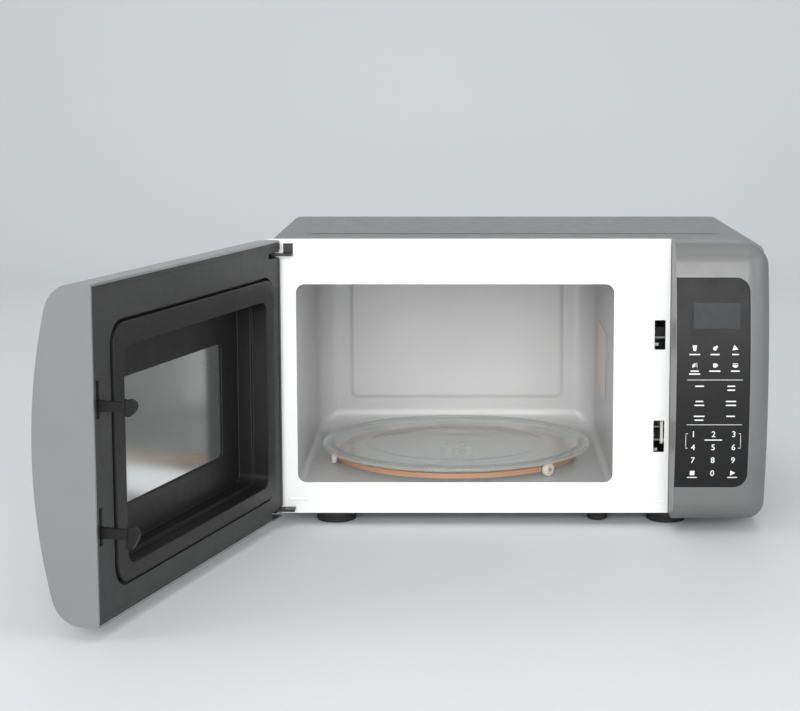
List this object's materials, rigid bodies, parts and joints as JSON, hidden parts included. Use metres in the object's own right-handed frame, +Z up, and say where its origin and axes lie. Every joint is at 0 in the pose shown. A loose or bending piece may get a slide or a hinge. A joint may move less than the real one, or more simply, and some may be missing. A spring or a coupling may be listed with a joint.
{
  "type": "microwave oven",
  "caption": "Counter-top microwave oven with a bowed metallic front, a side-hinged door swung open, a lit white cavity, a glass turntable and a membrane control panel.",
  "frame": {"origin": "middle of the footprint of the whole oven with its door open, on the table it stands on", "axes": "+X from the hinge side to the control panel, +Y from the front to the back, +Z up"},
  "size_m": [0.6708, 0.7638, 0.301],
  "materials": {
    "grey_paint": "satin",
    "zinc_steel": "satin zinc plated sheet",
    "white_enamel": "smooth enamel",
    "cavity_enamel": "smooth enamel",
    "mica": "matte mica sheet",
    "black_plastic": "moulded",
    "rubber": "matte",
    "aluminium": "mill",
    "core_steel": "dark steel",
    "copper": "varnished copper wire",
    "circuit_green": "circuit board",
    "white_plastic": "moulded",
    "clear_glass": "pressed glass",
    "tan_plastic": "moulded",
    "silver_plastic": "satin metallic paint on a moulding",
    "black_gloss": "smooth printed membrane",
    "dark_glass": "dark tinted panel",
    "dark_plastic": "satin paint",
    "film_glass": "reflective film window"
  },
  "bodies": {
    "cabinet": {"outer_cabinet": "grey_paint", "rear_panel": "zinc_steel", "base_plate": "zinc_steel", "front_plate": "white_enamel", "cavity_box": "cavity_enamel", "waveguide_cover": "mica", "cord_gland": "black_plastic", "rear_screw_1": "zinc_steel", "rear_screw_2": "zinc_steel", "foot_front_left": "rubber", "foot_front_right": "rubber", "foot_rear_left": "rubber", "foot_rear_right": "rubber", "foot_front_support": "rubber", "waveguide": "zinc_steel", "magnetron": "aluminium", "transformer_core": "core_steel", "transformer_coils": "copper", "hv_capacitor": "aluminium", "hv_diode": "black_plastic", "filter_board": "circuit_green", "thermal_cutout": "black_plastic", "fan_shroud": "white_plastic", "fan_motor": "core_steel", "cavity_lamp": "clear_glass", "lamp_socket": "white_plastic", "turntable_motor": "zinc_steel", "control_panel_frame": "silver_plastic", "control_overlay": "black_gloss", "display_module": "dark_glass", "control_board": "circuit_green", "interlock_bracket": "white_plastic", "upper_door_switch": "black_plastic", "lower_door_switch": "black_plastic", "monitor_door_switch": "black_plastic", "upper_hinge_bracket": "core_steel", "lower_hinge_bracket": "core_steel"},
    "door": {"door_outer_cover": "silver_plastic", "door_front_glass": "dark_glass", "door_inner_frame": "dark_plastic", "door_choke_cover": "black_plastic", "door_inner_window": "film_glass", "door_screen": "aluminium", "door_pan": "zinc_steel", "upper_door_hinge": "core_steel", "lower_door_hinge": "core_steel", "latch_spring": "zinc_steel"},
    "latch": {"latch_bar": "black_plastic"},
    "coupler": {"turntable_coupler": "white_plastic"},
    "turntable": {"glass_turntable": "clear_glass"},
    "rollers": {"roller_ring": "tan_plastic"},
    "wheel_1": {"roller_wheel_1": "white_plastic"},
    "wheel_2": {"roller_wheel_2": "white_plastic"},
    "wheel_3": {"roller_wheel_3": "white_plastic"},
    "fan": {"fan_blade": "white_plastic"},
    "lever": {"interlock_lever": "white_plastic"},
    "upper_plunger": {"upper_switch_plunger": "tan_plastic"},
    "lower_plunger": {"lower_switch_plunger": "tan_plastic"},
    "monitor_plunger": {"monitor_switch_plunger": "tan_plastic"}
  },
  "joints": [
    {"name": "door_hinge", "type": "hinge", "parent": "cabinet", "child": "door", "pos_m": [-0.17305, 0.01444, 0.15], "axis": [0, 0, 1], "range_deg": [0, 106.3]},
    {"name": "latch_slide", "type": "slide", "parent": "door", "child": "latch", "axis": [0, 0, 1], "range_m": [0, 0.004], "stiffness_N_per_m": 400, "springref_m": -0.002},
    {"name": "turntable_spin", "type": "hinge", "parent": "cabinet", "child": "coupler", "pos_m": [0.01525, 0.18944, 0.044], "axis": [0, 0, 1], "continuous": true},
    {"name": "turntable_lift", "type": "slide", "parent": "coupler", "child": "turntable", "axis": [0, 0, 1], "range_m": [0, 0.03]},
    {"name": "roller_spin", "type": "hinge", "parent": "cabinet", "child": "rollers", "pos_m": [0.01525, 0.18944, 0.044], "axis": [0, 0, 1], "continuous": true},
    {"name": "wheel_1_spin", "type": "hinge", "parent": "rollers", "child": "wheel_1", "pos_m": [0.11531, 0.08938, 0.0446], "axis": [0.7071, -0.7071, 0], "continuous": true},
    {"name": "wheel_2_spin", "type": "hinge", "parent": "rollers", "child": "wheel_2", "pos_m": [-0.12143, 0.15281, 0.0446], "axis": [-0.9659, -0.2588, 0], "continuous": true},
    {"name": "wheel_3_spin", "type": "hinge", "parent": "rollers", "child": "wheel_3", "pos_m": [0.05187, 0.32612, 0.0446], "axis": [0.2588, 0.9659, 0], "continuous": true},
    {"name": "fan_spin", "type": "hinge", "parent": "cabinet", "child": "fan", "pos_m": [0.26495, 0.33044, 0.19], "axis": [0, 1, 0], "continuous": true},
    {"name": "lever_rock", "type": "hinge", "parent": "cabinet", "child": "lever", "pos_m": [0.23165, 0.03644, 0.088], "axis": [1, 0, 0], "range_deg": [-7, 0], "stiffness_Nm_per_rad": 0.02, "springref_deg": 8.59},
    {"name": "upper_plunger_slide", "type": "slide", "parent": "cabinet", "child": "upper_plunger", "axis": [0, 1, 0], "range_m": [0, 0.0018], "stiffness_N_per_m": 150, "springref_m": -0.001},
    {"name": "lower_plunger_slide", "type": "slide", "parent": "cabinet", "child": "lower_plunger", "axis": [0, 1, 0], "range_m": [0, 0.0018], "stiffness_N_per_m": 150, "springref_m": -0.001},
    {"name": "monitor_plunger_slide", "type": "slide", "parent": "cabinet", "child": "monitor_plunger", "axis": [0, 1, 0], "range_m": [0, 0.002]}
  ],
  "couplings": [
    {"joint": "roller_spin", "follows": "turntable_spin", "ratio": 0.5},
    {"joint": "wheel_1_spin", "follows": "turntable_spin", "ratio": -9.6918},
    {"joint": "wheel_2_spin", "follows": "turntable_spin", "ratio": -9.6918},
    {"joint": "wheel_3_spin", "follows": "turntable_spin", "ratio": -9.6918},
    {"joint": "monitor_plunger_slide", "follows": "lever_rock", "m_per_rad": -0.0155}
  ]
}
